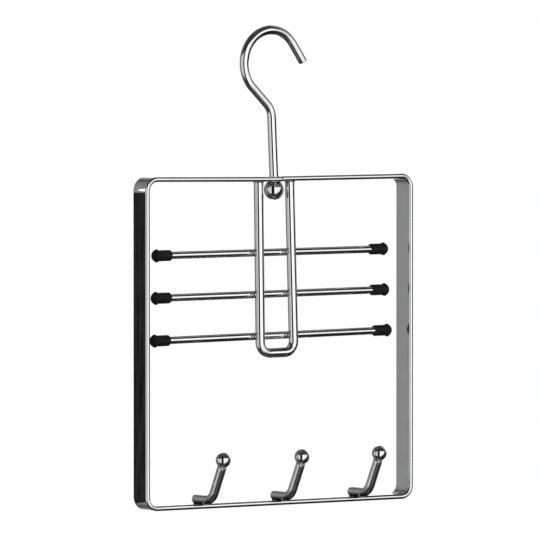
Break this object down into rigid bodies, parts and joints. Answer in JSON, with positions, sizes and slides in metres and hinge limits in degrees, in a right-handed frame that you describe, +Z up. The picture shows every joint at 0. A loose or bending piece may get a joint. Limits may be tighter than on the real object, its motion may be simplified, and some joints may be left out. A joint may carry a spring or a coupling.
{
  "type": "scarf_hanger",
  "caption": "Square strip-steel ring on a swivelling rail hook, with capped cross bars on a wire loop for scarves and small ball-ended hooks along the bottom.",
  "frame": {"origin": "Rail seat: the highest point of the inside of the swivel hook, where the closet rail bears, in the middle of the wire's width.", "axes": "+X right along the cross bars, +Y to the rear, so the small hooks point to -Y, +Z up along the swivel axis."},
  "size_m": [0.216, 0.0435, 0.314],
  "materials": {
    "strip_chrome": "bright chrome plate over rolled strip with fine lengthwise draw marks",
    "wire_chrome": "bright chrome plate over drawn wire",
    "ball_chrome": "bright chrome plate over a polished steel ball",
    "weld_chrome": "chrome plate over slightly rippled resistance-weld flash",
    "weld_dark": "chrome plate, thin and dull over a rough weld bead",
    "cap_rubber": "soft black dipped-look cap, satin, with a mould line at the rim"
  },
  "bodies": {
    "hook": {"swivel_hook": "wire_chrome", "stop_ball": "ball_chrome"},
    "frame": {"frame_strip": "strip_chrome", "loop_wire": "wire_chrome", "loop_welds": "weld_chrome", "top_bar": "wire_chrome", "middle_bar": "wire_chrome", "bottom_bar": "wire_chrome", "top_bar_welds": "weld_chrome", "middle_bar_welds": "weld_chrome", "bottom_bar_welds": "weld_chrome", "top_left_cap": "cap_rubber", "top_right_cap": "cap_rubber", "middle_left_cap": "cap_rubber", "middle_right_cap": "cap_rubber", "bottom_left_cap": "cap_rubber", "bottom_right_cap": "cap_rubber", "left_hook_wire": "wire_chrome", "middle_hook_wire": "wire_chrome", "right_hook_wire": "wire_chrome", "left_hook_ball": "ball_chrome", "middle_hook_ball": "ball_chrome", "right_hook_ball": "ball_chrome", "left_hook_weld": "weld_dark", "middle_hook_weld": "weld_dark", "right_hook_weld": "weld_dark"}
  },
  "joints": [
    {"name": "frame_swivel", "type": "hinge", "parent": "hook", "child": "frame", "pos_m": [0.00218, 0, -0.09464], "axis": [0, 0, 1], "continuous": true}
  ]
}
